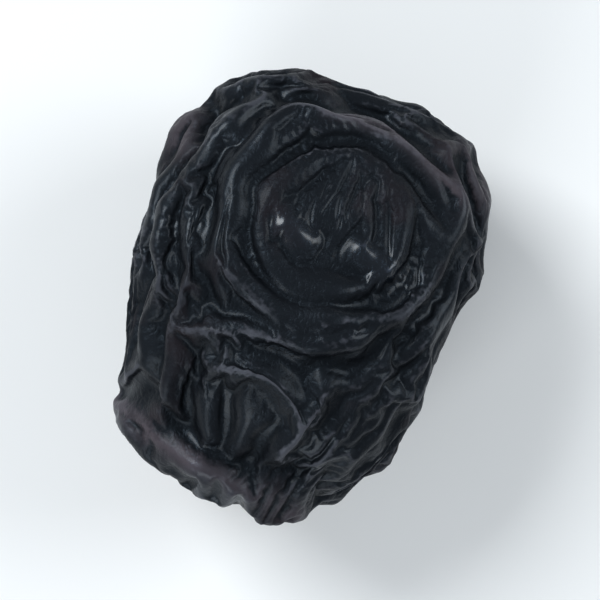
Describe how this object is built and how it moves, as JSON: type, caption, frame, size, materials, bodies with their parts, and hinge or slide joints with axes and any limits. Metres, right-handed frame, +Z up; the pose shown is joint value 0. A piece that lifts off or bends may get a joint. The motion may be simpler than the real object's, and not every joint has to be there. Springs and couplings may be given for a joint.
{
  "type": "ajwa date",
  "caption": "Dried ajwa date lying on its side: a near-black, deeply wrinkled oval fruit with a ringed dish on its upper face and a dry lobed calyx cap at its stem end.",
  "frame": {"origin": "bottom centre of the bounding box, on the small flat spot that the date rests on", "axes": "+Y along the fruit from its stem end to its rounded tip, +Z up out of the ringed upper face, +X to the right"},
  "size_m": [0.022, 0.0286, 0.0192],
  "materials": {
    "date_skin": "near-black wrinkled dried skin with a soft sheen, paler on its crests and red brown where it is thin",
    "dry_calyx": "dry matt orange-brown fibre"
  },
  "bodies": {
    "root": {"date_fruit": "date_skin", "calyx_cap": "dry_calyx"}
  },
  "joints": []
}
